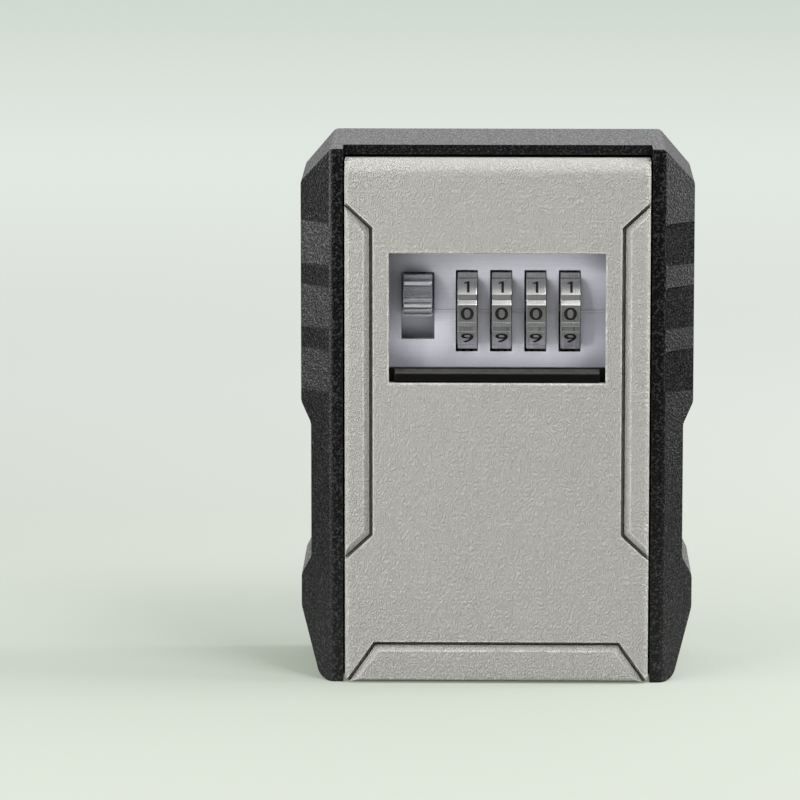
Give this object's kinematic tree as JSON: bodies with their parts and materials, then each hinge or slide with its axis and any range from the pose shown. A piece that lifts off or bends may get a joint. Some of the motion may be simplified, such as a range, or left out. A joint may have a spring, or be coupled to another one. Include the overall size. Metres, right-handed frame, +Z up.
{
  "type": "combination key safe",
  "caption": "Wall-mounted key safe: black bumpered case, fold-down grey door, dial window with number wheels, sliding release catch and pull-up shutter.",
  "frame": {"origin": "on the ground plane under the middle of the safe's box, midway between the wall face and the door's front", "axes": "+Z up, -Y the front with the door and dial, +Y the wall, +X to the right as seen from the front"},
  "size_m": [0.0846, 0.04, 0.116],
  "materials": {
    "case_black": "die-cast alloy with a fine-grained matt black powder coat",
    "door_grey": "die-cast alloy with a leather-textured warm grey powder coat",
    "plate_silver": "satin lilac-silver lacquer",
    "wheel_nickel": "nickel plated, digits engraved and filled dark",
    "hub_brass": "turned, plain",
    "button_chrome": "polished chrome",
    "shutter_black": "satin black moulding",
    "cover_black": "fine-grained black moulding",
    "steel": "zinc-plated sheet",
    "screw_steel": "bright zinc plate",
    "spring_steel": "tempered spring steel"
  },
  "bodies": {
    "case": {"case_shell": "case_black", "hinge_pins": "steel", "keeper_plate": "steel", "keeper_screws": "screw_steel"},
    "door": {"door_panel": "door_grey", "dial_plate": "plate_silver", "dial_plate_screws": "screw_steel", "shutter_retainer": "steel", "retainer_screws": "screw_steel", "lock_frame": "steel", "frame_screws": "screw_steel", "wheel_axle": "steel", "axle_clips": "spring_steel", "detent_spring": "spring_steel", "detent_screws": "screw_steel", "back_cover": "cover_black", "back_cover_screws": "screw_steel", "release_spring": "spring_steel"},
    "wheel_1": {"dial_wheel_1": "wheel_nickel", "wheel_hub_1": "hub_brass"},
    "wheel_2": {"dial_wheel_2": "wheel_nickel", "wheel_hub_2": "hub_brass"},
    "wheel_3": {"dial_wheel_3": "wheel_nickel", "wheel_hub_3": "hub_brass"},
    "wheel_4": {"dial_wheel_4": "wheel_nickel", "wheel_hub_4": "hub_brass"},
    "release": {"release_button": "button_chrome", "latch_plate": "steel", "latch_rivets": "screw_steel"},
    "shutter": {"shutter": "shutter_black"},
    "code_lever": {"code_lever": "button_chrome"}
  },
  "joints": [
    {"name": "door_hinge", "type": "hinge", "parent": "case", "child": "door", "pos_m": [0, -0.016, 0.0044], "axis": [1, 0, 0], "range_deg": [0, 90]},
    {"name": "wheel_1_turn", "type": "hinge", "parent": "door", "child": "wheel_1", "pos_m": [-0.00645, -0.006, 0.0801], "axis": [1, 0, 0], "continuous": true},
    {"name": "wheel_2_turn", "type": "hinge", "parent": "door", "child": "wheel_2", "pos_m": [0.00093, -0.006, 0.0801], "axis": [1, 0, 0], "continuous": true},
    {"name": "wheel_3_turn", "type": "hinge", "parent": "door", "child": "wheel_3", "pos_m": [0.00831, -0.006, 0.0801], "axis": [1, 0, 0], "continuous": true},
    {"name": "wheel_4_turn", "type": "hinge", "parent": "door", "child": "wheel_4", "pos_m": [0.01569, -0.006, 0.0801], "axis": [1, 0, 0], "continuous": true},
    {"name": "release_slide", "type": "slide", "parent": "door", "child": "release", "axis": [0, 0, -1], "range_m": [0, 0.0048], "stiffness_N_per_m": 300, "springref_m": -0.004, "deforming": ["release_spring"]},
    {"name": "shutter_slide", "type": "slide", "parent": "door", "child": "shutter", "axis": [0, 0, 1], "range_m": [0, 0.0246]},
    {"name": "code_lever_slide", "type": "slide", "parent": "door", "child": "code_lever", "axis": [1, 0, 0], "range_m": [0, 0.005]}
  ]
}
